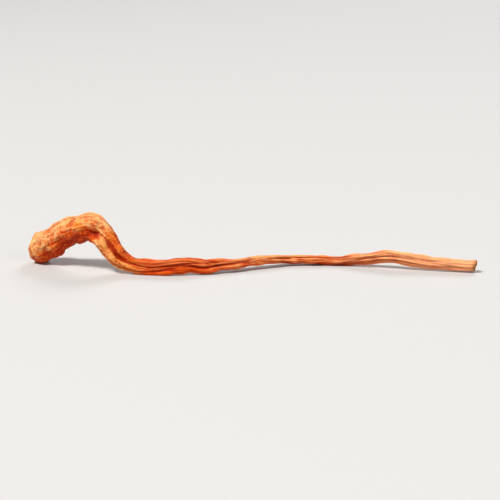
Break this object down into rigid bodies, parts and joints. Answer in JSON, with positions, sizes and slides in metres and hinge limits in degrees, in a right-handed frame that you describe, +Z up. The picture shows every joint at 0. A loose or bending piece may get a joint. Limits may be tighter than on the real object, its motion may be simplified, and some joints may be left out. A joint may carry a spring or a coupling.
{
  "type": "dried cordyceps",
  "caption": "Dried cordyceps fruiting body lying down: a thick wrinkled club that arches over, tapering into a long slender folded stalk with a cut base.",
  "frame": {"origin": "middle of the bounding box's base, on the surface that the strand rests on", "axes": "+X from the club's tip to the cut base of the stalk, +Y from the seen side to the far side, +Z up"},
  "size_m": [0.0988, 0.0148, 0.0127],
  "materials": {
    "skin": "satin"
  },
  "bodies": {
    "root": {"fruiting_body": "skin"}
  },
  "joints": []
}
